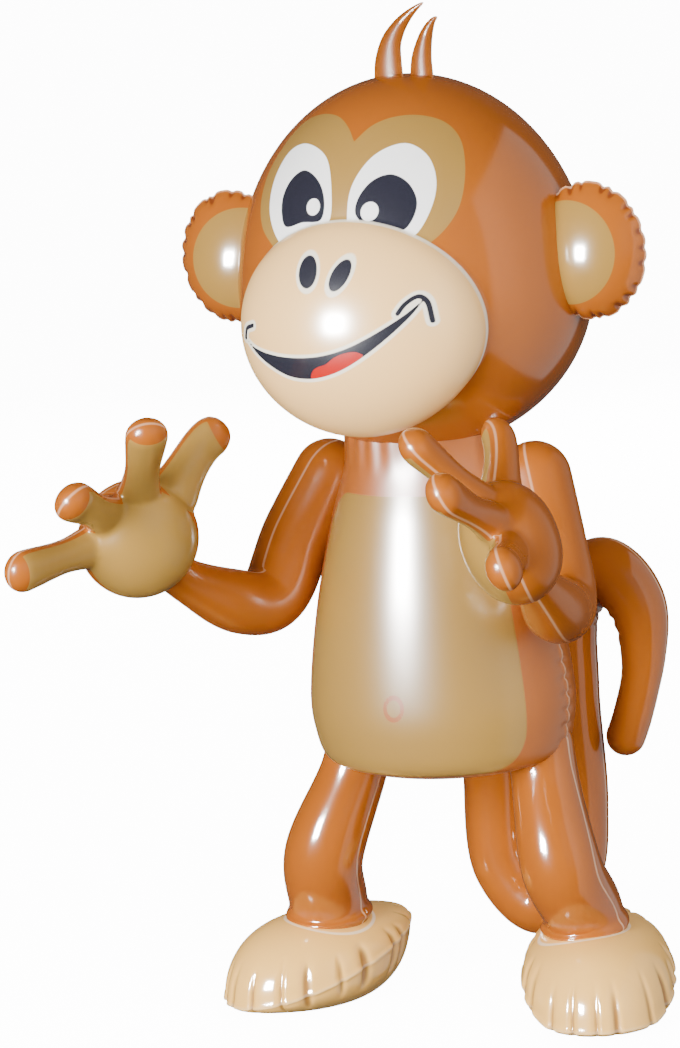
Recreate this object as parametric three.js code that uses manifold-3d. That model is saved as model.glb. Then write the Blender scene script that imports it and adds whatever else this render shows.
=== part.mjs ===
// Inflatable monkey: a blow-up vinyl figure that stands on its own two feet.
// Millimetres, +Z up, the figure faces -Y and its left side is +X.
// While it is built, the ground is z = 0 and the middle of the body is x = y = 0.
import * as THREE from 'three';
import { mergeVertices } from 'three/addons/utils/BufferGeometryUtils.js';
import Module from 'manifold-3d';

const wasm = await Module();
wasm.setup();

// Welds: two chambers that are welded together stop this far apart
const WELD_GAP = 0.3;

// Feet: oval cushions with a flat sole and a puckered edge seam, which slopes down as it does
// on a soft foot that is stood on: so far for each millimetre forward, and for each inward
const FOOT_LENGTH = 132;
const TOE_WIDTH = 96;
const HEEL_WIDTH = 84;
const FOOT_HEIGHT = 52;
const FOOT_SEAM_LEVEL = 24;
const FOOT_SEAM_LOWEST = 6;
const SOLE_SHARE = 0.5;
const FOOT_SPLAY = THREE.MathUtils.degToRad(23);
const FOOT_CREASES = 9;
const FOOT_CREASE_DEPTH = 3;
const LEFT_FOOT = { side: 1, spread: 86.5, back: 6, slopeForward: 0.36, slopeInward: 0 };
const RIGHT_FOOT = { side: -1, spread: 94, back: 0, slopeForward: 0.25, slopeInward: 0.06 };

// Legs: tubes with a slight bend at the knee
const LEG_DIAMETER = 48;
const LEG_TOP_DIAMETER = 40;
const LEG_HEIGHT = 100;
const HIP_SPREAD = 61;
const ANKLE_INSET = 8;
const ANKLE_BACK = 3;
const KNEE_FORWARD = 14;

// Body: a pear that narrows into the neck
const BODY_WIDTH = 160;
const BODY_DEPTH = 139;
const BODY_HEIGHT = 199;
const NECK_WIDTH = 97;

// Head: an egg that is broad below, with a domed muzzle in its front
const HEAD_WIDTH = 210;
const HEAD_DEPTH = 195;
const CROWN_HEIGHT = 122.5;
const CHIN_HEIGHT = 96.5;
const MUZZLE_ACROSS = THREE.MathUtils.degToRad(93.5);
const MUZZLE_UPRIGHT = THREE.MathUtils.degToRad(75.5);
const MUZZLE_TILT = THREE.MathUtils.degToRad(-10);
const MUZZLE_BULGE = 32;

// Ears: round cushions that face forward, their inner part cut off straight at the head
const EAR_HEIGHT = 78;
const EAR_WIDTH = 68;
const EAR_THICKNESS = 36;
const EAR_RISE = 19;
const EAR_STANDOFF = 8.5;
const EAR_CREASES = 12;
const EAR_CREASE_DEPTH = 1.6;

// Tuft of hair: flat double film, one large curl and one small curl
const HAIR_THICKNESS = 5;
const HAIR_HEIGHT = 40;
const HAIR_WIDTH = 38;
const HAIR_ROOT = 8;

// Arms: bent tubes, with a round hand, three fingers and a thumb, in one chamber each
const UPPER_ARM_DIAMETER = 43;
const ELBOW_DIAMETER = 38;
const WRIST_DIAMETER = 25;
const ARMPIT_OVERLAP = 15;
const SHOULDER_DROP = 32;
const SHOULDER_BACK = 12;
const HAND_WIDTH = 70;
const HAND_THICKNESS = 54;
const FINGER_DIAMETER = 18;
const FINGERTIP_DIAMETER = 21;

// Pose of each arm: every run is given as outward, forward and up, the palm as the way it faces
const LEFT_ARM = {
  side: 1,
  upperArm: [33, 44, -65],
  upperArmBow: 2,
  forearm: [15, 64, 22],
  toHand: [3, 45, 36],
  palm: [-0.87, 0.38, -0.31],
  fingers: [[36, 95, 3], [-1, 92, 47], [-34, 56, 69]],
  thumb: [-29, -44, 58],
};
const RIGHT_ARM = {
  side: -1,
  upperArm: [34, 44, -65],
  upperArmBow: 8,
  forearm: [17, 64, 22],
  toHand: [8, 45, 35],
  palm: [-0.6, 0.78, -0.16],
  fingers: [[35, 89, -5], [-9, 93, 40], [-40, 51, 75]],
  thumb: [-40, -44, 57],
};
const THUMB_CURL = [0, -10, 12];

// Tail: hangs from the lower back, turns up and ends in a hook
const TAIL_DIAMETER = 38;
const TAIL_TIP_DIAMETER = 24;
const TAIL_BEHIND = 80;
const TAIL_TURN_LEVEL = 42;
const TAIL_HOOK_LEVEL = 252;
const TAIL_REACH = 97;

// Valve: a moulded plug in a welded collar on the back
const VALVE_COLLAR_DIAMETER = 20;
const VALVE_COLLAR_HEIGHT = 1.6;
const VALVE_CAP_DIAMETER = 11;
const VALVE_CAP_HEIGHT = 4;
const VALVE_SHARE = 0.57;

const COLOURS = {
  orange: '#c8732f',
  tan: '#d9b78a',
  valve: '#d8cdb8',
};

// Levels and radii that follow from the sizes above
const torsoBase = FOOT_HEIGHT + LEG_HEIGHT;
const neckLevel = torsoBase + BODY_HEIGHT;
const headLevel = neckLevel + CHIN_HEIGHT * Math.sqrt(1 - (NECK_WIDTH / HEAD_WIDTH) ** 2);
const shoulderLevel = neckLevel - SHOULDER_DROP;

const vector = (x, y, z) => new THREE.Vector3(x, y, z);
const run = ([outward, forward, up], side) => vector(outward * side, -forward, up);
const smooth = THREE.MathUtils.smoothstep;

// A closed skin: surface(angle, share, point) places the grid, and the share 0 to 1 runs from the
// first pole to the last. The angle turns counter-clockwise as seen from outside the first pole.
function skin(surface, columns, rows) {
  const geometry = new THREE.SphereGeometry(1, columns, rows);
  const uv = geometry.getAttribute('uv');
  const position = geometry.getAttribute('position');
  const point = vector(0, 0, 0);
  for (let i = 0; i < position.count; i += 1) {
    const share = 1 - uv.getY(i);
    const atPole = share < 1e-6 || share > 1 - 1e-6;
    surface(atPole ? 0 : 2 * Math.PI * uv.getX(i), share, point);
    position.setXYZ(i, point.x, point.y, point.z);
  }
  geometry.deleteAttribute('normal');
  geometry.deleteAttribute('uv');
  return mergeVertices(geometry, 1e-4);
}

function solidOf(geometry) {
  const vertProperties = new Float32Array(geometry.getAttribute('position').array);
  const triVerts = new Uint32Array(geometry.getIndex().array);
  return new wasm.Manifold(new wasm.Mesh({ numProp: 3, vertProperties, triVerts }));
}

function meshOf(name, solid, colour) {
  const { vertProperties, triVerts } = solid.getMesh();
  const geometry = new THREE.BufferGeometry();
  geometry.setAttribute('position', new THREE.Float32BufferAttribute(vertProperties, 3));
  geometry.setIndex(Array.from(triVerts));
  geometry.computeVertexNormals();
  const material = new THREE.MeshStandardMaterial({ color: colour, roughness: 0.22, metalness: 0 });
  const mesh = new THREE.Mesh(geometry, material);
  mesh.name = name;
  return mesh;
}

// A tube with round ends along a curve. across is a direction that the curve never follows.
function tube({ curve, radiusAt, across, columns, rows, capShare = 0.2 }) {
  const length = curve.getLength();
  const firstRadius = radiusAt(0);
  const lastRadius = radiusAt(1);
  return skin((angle, share, point) => {
    let along = THREE.MathUtils.mapLinear(share, capShare, 1 - capShare, firstRadius, length - lastRadius);
    let swell = 1;
    if (share < capShare) {
      const turn = (share / capShare) * Math.PI / 2;
      along = firstRadius * (1 - Math.cos(turn));
      swell = Math.sin(turn);
    }
    if (share > 1 - capShare) {
      const turn = ((1 - share) / capShare) * Math.PI / 2;
      along = length - lastRadius * (1 - Math.cos(turn));
      swell = Math.sin(turn);
    }
    const at = THREE.MathUtils.clamp(along / length, 0, 1);
    const tangent = curve.getTangentAt(at);
    const second = across.clone().addScaledVector(tangent, -across.dot(tangent)).normalize();
    const first = tangent.clone().cross(second);
    const radius = radiusAt(at) * swell;
    point.copy(curve.getPointAt(at));
    point.addScaledVector(first, radius * Math.cos(angle));
    point.addScaledVector(second, radius * Math.sin(angle));
  }, columns, rows);
}

// Shallow creases round an edge seam: 0 between creases, 1 in a crease
function crease(angle, count) {
  return Math.max(0, Math.cos(angle * count)) ** 4;
}

// The head without its muzzle, as a distance from its middle in a direction of length 1
function eggRadius(direction) {
  const upright = direction.z > 0 ? CROWN_HEIGHT : CHIN_HEIGHT;
  return 1 / Math.hypot(
    direction.x / (HEAD_WIDTH / 2),
    direction.y / (HEAD_DEPTH / 2),
    direction.z / upright,
  );
}

function head(grow) {
  const muzzleShare = 0.36;
  const backPole = vector(0, 1, 0);
  const weldDirection = (angle, reach) => {
    const turn = reach * Math.cos(angle) * MUZZLE_ACROSS / 2;
    const rise = MUZZLE_TILT + reach * Math.sin(angle) * MUZZLE_UPRIGHT / 2;
    return vector(Math.sin(turn) * Math.cos(rise), -Math.cos(turn) * Math.cos(rise), Math.sin(rise));
  };
  const surface = (angle, share, point) => {
    const reach = Math.min(1, share / muzzleShare);
    const direction = weldDirection(angle, reach);
    if (share > muzzleShare) {
      const fromFront = direction.angleTo(backPole);
      const left = fromFront * (1 - share) / (1 - muzzleShare);
      const away = direction.clone().addScaledVector(backPole, -direction.dot(backPole)).normalize();
      direction.copy(backPole).multiplyScalar(Math.cos(left)).addScaledVector(away, Math.sin(left));
    }
    const dome = MUZZLE_BULGE * (1 - reach ** 2) ** 0.68;
    point.copy(direction).multiplyScalar(eggRadius(direction) + dome + grow);
    point.z += headLevel;
  };
  return solidOf(skin(surface, 40, 22));
}

// Half-width and level of the body's outline, each as a share, from the base up to inside the head
const bodyOutline = new THREE.SplineCurve([
  new THREE.Vector2(0.72, 0),
  new THREE.Vector2(0.9, 0.03),
  new THREE.Vector2(0.975, 0.1),
  new THREE.Vector2(1, 0.23),
  new THREE.Vector2(0.905, 0.49),
  new THREE.Vector2(0.757, 0.745),
  new THREE.Vector2(NECK_WIDTH / BODY_WIDTH, 1),
  new THREE.Vector2(NECK_WIDTH / BODY_WIDTH - 0.03, 1.1),
]);

function torso(grow) {
  const baseShare = 0.14;
  const topShare = 0.93;
  const surface = (angle, share, point) => {
    const onOutline = THREE.MathUtils.clamp((share - baseShare) / (topShare - baseShare), 0, 1);
    const outline = bodyOutline.getPointAt(onOutline);
    let closing = 1;
    if (share < baseShare) {
      closing = share / baseShare;
    }
    if (share > topShare) {
      closing = (1 - share) / (1 - topShare);
    }
    point.set(
      (BODY_WIDTH / 2 * outline.x + grow) * closing * Math.cos(angle),
      -(BODY_DEPTH / 2 * outline.x + grow) * closing * Math.sin(angle),
      torsoBase + BODY_HEIGHT * outline.y - grow * (1 - onOutline),
    );
  };
  return solidOf(skin(surface, 36, 18));
}

function foot({ side, spread, back, slopeForward, slopeInward }, grow) {
  const soleDepth = 1 / Math.sqrt(1 - SOLE_SHARE ** 2);
  const surface = (angle, share, point) => {
    const polar = Math.PI * share;
    const edge = Math.sin(polar);
    const pinch = FOOT_CREASE_DEPTH * crease(angle, FOOT_CREASES) * smooth(edge, 0.75, 1);
    const plump = edge ** 0.8;
    const width = THREE.MathUtils.mapLinear(plump * Math.sin(angle), -1, 1, TOE_WIDTH, HEEL_WIDTH);
    const across = (width / 2 + grow - pinch) * plump * Math.cos(angle);
    const along = (FOOT_LENGTH / 2 + grow - pinch) * plump * Math.sin(angle);
    const slope = slopeForward * along - slopeInward * across * side;
    const seamLevel = Math.max(FOOT_SEAM_LOWEST, FOOT_SEAM_LEVEL + slope);
    const radius = Math.cos(polar) > 0 ? FOOT_HEIGHT + grow - seamLevel : seamLevel * soleDepth;
    point.set(across, along, Math.max(-grow, seamLevel + radius * Math.cos(polar)));
    point.applyAxisAngle(vector(0, 0, 1), FOOT_SPLAY * side);
    point.x += spread * side;
    point.y += back;
  };
  return solidOf(skin(surface, 36, 10));
}

function leg(footShape) {
  const { side, spread, back } = footShape;
  const radius = LEG_DIAMETER / 2;
  const topRadius = LEG_TOP_DIAMETER / 2;
  const ankle = spread - ANKLE_INSET;
  const ankleBack = back + ANKLE_BACK;
  const knee = torsoBase - 0.6 * LEG_HEIGHT;
  const curve = new THREE.CatmullRomCurve3([
    vector(side * (HIP_SPREAD - 4), 6, torsoBase + radius + 6),
    vector(side * HIP_SPREAD, 2, torsoBase - 4),
    vector(side * ((HIP_SPREAD + ankle) / 2 + 6), -KNEE_FORWARD, knee),
    vector(side * ankle, ankleBack - 2, FOOT_HEIGHT + 8),
    vector(side * ankle, ankleBack, FOOT_HEIGHT - radius),
  ]);
  const radiusAt = (at) => topRadius + (radius - topRadius) * smooth(at, 0.2, 0.6);
  return solidOf(tube({ curve, radiusAt, across: vector(1, 0, 0), columns: 16, rows: 11 }))
    .subtract(torso(WELD_GAP))
    .subtract(foot(footShape, WELD_GAP));
}

function ear(side) {
  const surface = (angle, share, point) => {
    const polar = Math.PI * share;
    const edge = Math.sin(polar);
    const pinch = EAR_CREASE_DEPTH * crease(angle, EAR_CREASES) * smooth(edge, 0.8, 1);
    const plump = edge ** 0.85;
    point.set(
      (EAR_WIDTH / 2 - pinch) * plump * Math.cos(angle) + side * (HEAD_WIDTH / 2 + EAR_STANDOFF),
      -EAR_THICKNESS / 2 * Math.cos(polar) - HEAD_DEPTH * 0.04,
      (EAR_HEIGHT / 2 - pinch) * plump * Math.sin(angle) + headLevel + EAR_RISE,
    );
  };
  return solidOf(skin(surface, 24, 8)).subtract(head(WELD_GAP));
}

// Outline of the tuft, as shares of its width and height, from the left foot of the large curl
function hairTuft() {
  const place = (x, z) => [x * HAIR_WIDTH, z * HAIR_HEIGHT];
  const outline = new THREE.Shape();
  outline.moveTo(...place(-0.47, -HAIR_ROOT / HAIR_HEIGHT));
  outline.lineTo(...place(-0.47, 0.02));
  outline.bezierCurveTo(...place(-0.45, 0.42), ...place(-0.2, 0.74), ...place(0.45, 1));
  outline.bezierCurveTo(...place(0.2, 0.72), ...place(0.02, 0.5), ...place(0.03, 0.2));
  outline.quadraticCurveTo(...place(0.14, 0), ...place(0.24, 0.22));
  outline.quadraticCurveTo(...place(0.32, 0.64), ...place(0.66, 0.79));
  outline.quadraticCurveTo(...place(0.5, 0.5), ...place(0.52, 0.05));
  outline.lineTo(...place(0.52, -HAIR_ROOT / HAIR_HEIGHT));
  outline.closePath();
  const geometry = new THREE.ExtrudeGeometry(outline, {
    depth: HAIR_THICKNESS,
    bevelEnabled: false,
    curveSegments: 7,
  });
  geometry.deleteAttribute('normal');
  geometry.deleteAttribute('uv');
  geometry.rotateX(Math.PI / 2);
  geometry.translate(0, HAIR_THICKNESS / 2, headLevel + CROWN_HEIGHT);
  return solidOf(mergeVertices(geometry, 1e-4)).subtract(head(WELD_GAP));
}

function finger(from, reach, bend, across) {
  const rootRadius = FINGER_DIAMETER / 2;
  const tipRadius = FINGERTIP_DIAMETER / 2;
  const curve = new THREE.CatmullRomCurve3([
    from.clone().addScaledVector(reach, 0.12),
    from.clone().addScaledVector(reach, 0.6).add(bend),
    from.clone().add(reach),
  ]);
  const radiusAt = (at) => rootRadius + (tipRadius - rootRadius) * smooth(at, 0.5, 1);
  return solidOf(tube({ curve, radiusAt, across, columns: 8, rows: 7, capShare: 0.3 }));
}

function arm(pose) {
  const { side } = pose;
  const shoulderShare = bodyOutline.getPointAt(0.8).x;
  const upperRadius = UPPER_ARM_DIAMETER / 2;
  const elbowRadius = ELBOW_DIAMETER / 2;
  const wristRadius = WRIST_DIAMETER / 2;
  const shoulder = vector(
    side * (BODY_WIDTH / 2 * shoulderShare + upperRadius - ARMPIT_OVERLAP),
    SHOULDER_BACK,
    shoulderLevel,
  );
  const elbow = shoulder.clone().add(run(pose.upperArm, side));
  const wrist = elbow.clone().add(run(pose.forearm, side));
  const hand = wrist.clone().add(run(pose.toHand, side));
  const curve = new THREE.CatmullRomCurve3([
    shoulder.clone().add(vector(-side * 2, 2, upperRadius)),
    shoulder.clone().lerp(elbow, 0.45).add(vector(side * pose.upperArmBow, 0, 0)),
    elbow,
    wrist,
    hand,
  ]);
  const radiusAt = (at) => {
    const lower = smooth(at, 0.35, 0.55);
    const narrow = smooth(at, 0.55, 0.82);
    return upperRadius + (elbowRadius - upperRadius) * lower + (wristRadius - elbowRadius) * narrow;
  };
  const across = vector(1, 0, 0);
  const straight = vector(0, 0, 0);
  let limb = solidOf(tube({ curve, radiusAt, across, columns: 12, rows: 18, capShare: 0.16 }));
  limb = limb.add(handPillow(hand, pose));
  for (const reach of pose.fingers) {
    limb = limb.add(finger(hand, run(reach, side), straight, across));
  }
  limb = limb.add(finger(hand, run(pose.thumb, side), run(THUMB_CURL, side), across));
  return limb.subtract(torso(WELD_GAP));
}

function handPillow(middle, { side, palm }) {
  const facing = run(palm, side).normalize();
  const second = vector(0, 0, 1).addScaledVector(facing, -facing.z).normalize();
  const first = second.clone().cross(facing);
  const surface = (angle, share, point) => {
    const polar = Math.PI * share;
    const reach = HAND_WIDTH / 2 * Math.sin(polar) ** 0.9;
    point.copy(middle);
    point.addScaledVector(facing, HAND_THICKNESS / 2 * Math.cos(polar));
    point.addScaledVector(first, reach * Math.cos(angle));
    point.addScaledVector(second, reach * Math.sin(angle));
  };
  return solidOf(skin(surface, 16, 8));
}

function tail() {
  const radius = TAIL_DIAMETER / 2;
  const tipRadius = TAIL_TIP_DIAMETER / 2;
  const rootLevel = torsoBase + 25;
  const behind = TAIL_BEHIND;
  const rising = TAIL_REACH / 2;
  const hook = TAIL_HOOK_LEVEL;
  const curve = new THREE.CatmullRomCurve3([
    vector(-2, BODY_DEPTH / 2 - 24, rootLevel),
    vector(-5, BODY_DEPTH / 2 + 2, rootLevel - 16),
    vector(-6, behind, rootLevel - 48),
    vector(-3, behind, TAIL_TURN_LEVEL + 23),
    vector(rising * 0.41, behind, TAIL_TURN_LEVEL),
    vector(rising * 0.87, behind, TAIL_TURN_LEVEL + 23),
    vector(rising, behind, TAIL_TURN_LEVEL + 65),
    vector(rising * 0.97, behind, (TAIL_TURN_LEVEL + 65 + hook) / 2),
    vector(rising + 3, behind, hook - 22),
    vector(rising + 25, behind, hook + 1),
    vector(TAIL_REACH - 3, behind, hook - 19),
    vector(TAIL_REACH, behind, hook - 53),
    vector(TAIL_REACH - 9, behind, hook - 89),
    vector(TAIL_REACH - 19, behind, hook - 113),
  ]);
  const radiusAt = (at) => radius + (tipRadius - radius) * smooth(at, 0.78, 0.92);
  return solidOf(tube({ curve, radiusAt, across: vector(0, 1, 0), columns: 10, rows: 34, capShare: 0.08 }))
    .subtract(torso(WELD_GAP));
}

// The valve's outline is turned about its own axis, then set square to the back of the body
function airValve() {
  const capRadius = VALVE_CAP_DIAMETER / 2;
  const collarRadius = VALVE_COLLAR_DIAMETER / 2;
  const profile = [
    [0, -collarRadius],
    [collarRadius, -collarRadius],
    [collarRadius, VALVE_COLLAR_HEIGHT],
    [capRadius, VALVE_COLLAR_HEIGHT],
    [capRadius, VALVE_CAP_HEIGHT],
    [0, VALVE_CAP_HEIGHT],
  ].map(([radius, level]) => new THREE.Vector2(radius, level));
  const geometry = new THREE.LatheGeometry(profile, 20);
  geometry.deleteAttribute('normal');
  geometry.deleteAttribute('uv');
  const below = bodyOutline.getPointAt(VALVE_SHARE - 0.01);
  const above = bodyOutline.getPointAt(VALVE_SHARE + 0.01);
  const along = vector(0, (above.x - below.x) * BODY_DEPTH / 2, (above.y - below.y) * BODY_HEIGHT);
  const outward = vector(0, along.z, -along.y).normalize();
  const middle = below.add(above).multiplyScalar(0.5);
  geometry.applyQuaternion(new THREE.Quaternion().setFromUnitVectors(vector(0, 1, 0), outward));
  geometry.translate(0, BODY_DEPTH / 2 * middle.x, torsoBase + BODY_HEIGHT * middle.y);
  return solidOf(mergeVertices(geometry, 1e-4)).subtract(torso(WELD_GAP));
}

const monkey = new THREE.Group();
monkey.add(meshOf('head', head(0), COLOURS.orange));
monkey.add(meshOf('hair_tuft', hairTuft(), COLOURS.orange));
monkey.add(meshOf('torso', torso(0).subtract(head(WELD_GAP)), COLOURS.orange));
monkey.add(meshOf('tail', tail(), COLOURS.orange));
monkey.add(meshOf('air_valve', airValve(), COLOURS.valve));
for (const [name, pose, footShape] of [
  ['left', LEFT_ARM, LEFT_FOOT],
  ['right', RIGHT_ARM, RIGHT_FOOT],
]) {
  monkey.add(meshOf(`${name}_ear`, ear(pose.side), COLOURS.orange));
  monkey.add(meshOf(`${name}_arm`, arm(pose), COLOURS.orange));
  monkey.add(meshOf(`${name}_leg`, leg(footShape), COLOURS.orange));
  monkey.add(meshOf(`${name}_foot`, foot(footShape, 0), COLOURS.tan));
}

// The origin goes to the middle of the figure's box, on the ground
const box = new THREE.Box3().setFromObject(monkey);
const middle = box.getCenter(vector(0, 0, 0));
monkey.position.set(-middle.x, -middle.y, -box.min.z);

export default monkey;
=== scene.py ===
"""Inflatable monkey: every chamber of the figure dressed as glossy printed vinyl, in its studio."""
import math
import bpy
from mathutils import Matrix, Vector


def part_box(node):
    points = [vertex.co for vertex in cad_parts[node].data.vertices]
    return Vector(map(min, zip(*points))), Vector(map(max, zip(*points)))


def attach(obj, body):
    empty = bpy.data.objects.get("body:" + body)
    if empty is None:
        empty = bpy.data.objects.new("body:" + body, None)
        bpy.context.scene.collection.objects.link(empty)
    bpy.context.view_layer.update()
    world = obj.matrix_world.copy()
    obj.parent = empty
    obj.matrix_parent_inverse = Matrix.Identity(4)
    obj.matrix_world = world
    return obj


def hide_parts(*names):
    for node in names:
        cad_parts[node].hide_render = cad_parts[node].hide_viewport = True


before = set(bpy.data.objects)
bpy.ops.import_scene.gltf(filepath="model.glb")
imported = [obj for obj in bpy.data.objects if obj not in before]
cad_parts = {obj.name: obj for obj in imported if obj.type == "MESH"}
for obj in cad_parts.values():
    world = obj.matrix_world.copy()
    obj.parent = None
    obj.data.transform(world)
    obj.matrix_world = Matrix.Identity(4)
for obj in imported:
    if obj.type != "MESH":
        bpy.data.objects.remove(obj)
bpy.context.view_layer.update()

from types import SimpleNamespace

import bmesh
import bpy
import numpy as np
from mathutils import Matrix, Quaternion, Vector

# Millimetres to metres
MM = 0.001

# Sizes of the chambers, in millimetres and radians. The ground is z = 0, the body's middle is
# x = y = 0, the figure faces -Y and its left side is +X
FOOT_LENGTH = 132
TOE_WIDTH = 96
HEEL_WIDTH = 84
FOOT_HEIGHT = 52
FOOT_SEAM_LEVEL = 24
FOOT_SEAM_LOWEST = 6
FOOT_SPLAY = math.radians(23)
LEG_DIAMETER = 48
LEG_TOP_DIAMETER = 40
LEG_HEIGHT = 100
HIP_SPREAD = 61
ANKLE_INSET = 8
ANKLE_BACK = 3
ANKLE_FLARE = 2.6
KNEE_FORWARD = 14
BODY_WIDTH = 160
BODY_DEPTH = 139
BODY_HEIGHT = 199
NECK_WIDTH = 97
HEAD_WIDTH = 210
HEAD_DEPTH = 195
CROWN_HEIGHT = 122.5
CHIN_HEIGHT = 96.5
MUZZLE_ACROSS = math.radians(93.5)
MUZZLE_UPRIGHT = math.radians(75.5)
MUZZLE_TILT = math.radians(-10)
MUZZLE_BULGE = 32
EAR_HEIGHT = 78
EAR_WIDTH = 68
EAR_THICKNESS = 36
EAR_RISE = 19
EAR_FORWARD = 7.8
EAR_STANDOFF = 8.5
UPPER_ARM_DIAMETER = 43
ELBOW_DIAMETER = 38
WRIST_DIAMETER = 25
ARMPIT_OVERLAP = 15
SHOULDER_DROP = 32
SHOULDER_BACK = 12
HAND_WIDTH = 70
HAND_THICKNESS = 54
FINGER_DIAMETER = 18
FINGERTIP_WIDTH = 24.5
FINGER_ROOT_SWELL = 5
THUMB_SWELL = 3.5
TAIL_DIAMETER = 38
TAIL_TIP_DIAMETER = 24
TAIL_BEHIND = 80
TAIL_TURN_LEVEL = 42
TAIL_HOOK_LEVEL = 252
TAIL_REACH = 97
HAIR_HALF_THICKNESS = 3

# How full each cushion is: the power of its rounding, 1 for an oval section
MUZZLE_FULLNESS = 0.68
FOOT_FULLNESS = 0.8
EAR_FULLNESS = 1.02
EAR_DOME = 1.4
HAND_FULLNESS = 0.9
FINGER_FLATNESS = 0.8

# The sine of the foot's rounding at the edge of its flat sole
SOLE_SHARE = 0.5

# Along each leg, as shares: the knee below the hip, where the tube widens and where it flares
KNEE_SHARE = 0.6
LEG_WIDENS = (0.2, 0.6)
ANKLE_FLARE_AT = 0.85
ANKLE_FLARE_SPREAD = 0.022

# A digit's middle line: its start off the middle of the hand as a share of the hand's width, its
# middle as a share of its reach, and how many millimetres it bows to the side
DIGIT_ROOT = 0.27
DIGIT_MIDDLE = 0.58
DIGIT_BOW = 7

# How much further the muzzle bulges at its lower edge, and the ear's front at its lower edge, as shares
MUZZLE_DROOP = 0.3
EAR_DROOP = 0.3

# Raised weld edges: how high each stands and over what distance it fades
HEAD_WELD = (0.9, 1.3)
BODY_WELD = (1.1, 1.6)
FOOT_WELD = (1.0, 1.5)
EAR_WELD = (0.8, 1.4)

# Folds that run in from an edge weld: how many, their width as an angle, their reach as a share of
# the cushion, their depth, and how far the surface sinks in them: on a foot as a share of that
# depth, on an ear as a share of its thickness for each millimetre of depth
FOOT_FOLDS = {"count": 19, "width": 0.042, "reach": 0.3}
FOOT_FOLD_DEPTH = 2.8
FOOT_FOLD_SINK = 0.6
EAR_FOLDS = {"count": 24, "width": 0.05, "reach": 0.22}
EAR_FOLD_DEPTH = 1.7
EAR_FOLD_SINK = 0.12

# Puckers along the body's side weld, with the levels above its base where they start, are full,
# fade and end, and the small folds round the neck
BODY_PUCKER_DEPTH = 1.5
BODY_PUCKER_PITCH = 9.5
BODY_PUCKER_SPREAD = 9
BODY_PUCKER_NOTCH = 1.2
BODY_PUCKER_LEVELS = (6, 22, 60, 84)
NECK_FOLDS = 17
NECK_FOLD_DEPTH = 0.6

# Puckers on the inner side of the tail's two bends, with the shares of its length between which they lie
TAIL_PUCKERS = 46
TAIL_PUCKER_DEPTH = 1.4
TAIL_PUCKER_SPREAD = 0.75
TAIL_HOOK_PUCKERS = (0.66, 0.7, 0.84, 0.88)
TAIL_TURN_PUCKERS = (0.24, 0.28, 0.42, 0.46)

LEFT_FOOT = {"side": 1, "spread": 86.5, "back": 6, "slope_forward": 0.36, "slope_inward": 0}
RIGHT_FOOT = {"side": -1, "spread": 94, "back": 0, "slope_forward": 0.25, "slope_inward": 0.06}

# Pose of each arm: every run is given as outward, forward and up, the palm as the way it faces
LEFT_ARM = {
    "side": 1,
    "upper_arm": (33, 44, -65),
    "upper_arm_bow": 2,
    "forearm": (15, 64, 22),
    "to_hand": (3, 45, 36),
    "palm": (-0.87, 0.38, -0.31),
    "fingers": ((36, 95, 3), (-1, 92, 47), (-34, 56, 69)),
    "thumb": (-29, -44, 58),
}
RIGHT_ARM = {
    "side": -1,
    "upper_arm": (34, 44, -65),
    "upper_arm_bow": 8,
    "forearm": (17, 64, 22),
    "to_hand": (8, 45, 35),
    "palm": (-0.6, 0.78, -0.16),
    "fingers": ((35, 89, -5), (-9, 93, 40), (-40, 51, 75)),
    "thumb": (-40, -44, 57),
}
NO_CURL = (0, 0, 0)
THUMB_CURL = (0, -10, 12)

TORSO_BASE = FOOT_HEIGHT + LEG_HEIGHT
NECK_LEVEL = TORSO_BASE + BODY_HEIGHT
HEAD_LEVEL = NECK_LEVEL + CHIN_HEIGHT * math.sqrt(1 - (NECK_WIDTH / HEAD_WIDTH) ** 2)
SHOULDER_LEVEL = NECK_LEVEL - SHOULDER_DROP

# The body's outline from base to neck: its half-width and level as shares of the body's own
BODY_OUTLINE = (
    (0.72, 0),
    (0.9, 0.03),
    (0.975, 0.1),
    (1, 0.23),
    (0.905, 0.49),
    (0.75, 0.745),
    (NECK_WIDTH / BODY_WIDTH + 0.02, 0.9),
    (NECK_WIDTH / BODY_WIDTH, 1),
    (NECK_WIDTH / BODY_WIDTH - 0.005, 1.1),
)

# The two curls of hair: across, level above the crown and half-width
BIG_CURL = (
    (-8.5, -5, 9.4), (-8, 7, 8.6), (-5.5, 18, 6.6), (0, 27, 4.6),
    (7, 34, 2.8), (13, 38.3, 1.5), (17, 40.5, 0.7),
)
SMALL_CURL = (
    (12.5, -5, 7.6), (13, 7, 6.6), (15, 16, 5.2), (18, 24, 3.6), (22, 30, 1.8), (25, 32, 0.8),
)

# The face print, seen from the front: across and up from the middle of the head
MASK_NOTCH = (-2, 90)
MASK_LEFT_LOBE = (
    (6, 98), (17, 102), (31, 102), (45, 97), (55, 87), (61, 70), (61, 52), (55, 40), (44, 30),
)
MASK_RIGHT_LOBE = (
    (-8, 97), (-18, 103), (-33, 104), (-47, 99), (-57, 88), (-65, 72), (-66, 56), (-61, 43), (-50, 33),
)
LEFT_EYE = (
    (28, 88), (41, 81), (48, 68), (48, 54), (40, 38), (22, 32), (4, 42), (1, 56), (3, 69), (13, 83),
)
RIGHT_EYE = (
    (-36, 89), (-48, 85), (-55, 74), (-57, 61), (-54, 48), (-42, 34), (-20, 34), (-10, 47),
    (-10, 62), (-18, 82),
)
LEFT_PUPIL = (
    (24, 72), (34, 67), (40, 57), (39, 48), (34, 41.5), (21, 44.5), (10.5, 47), (6, 52), (7, 60), (14, 69),
)
RIGHT_PUPIL = (
    (-33, 75), (-41, 70), (-45.5, 61), (-45, 52), (-41, 44.5), (-28, 47), (-15.5, 48.5), (-14, 57),
    (-18, 67), (-26, 73.5),
)
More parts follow.
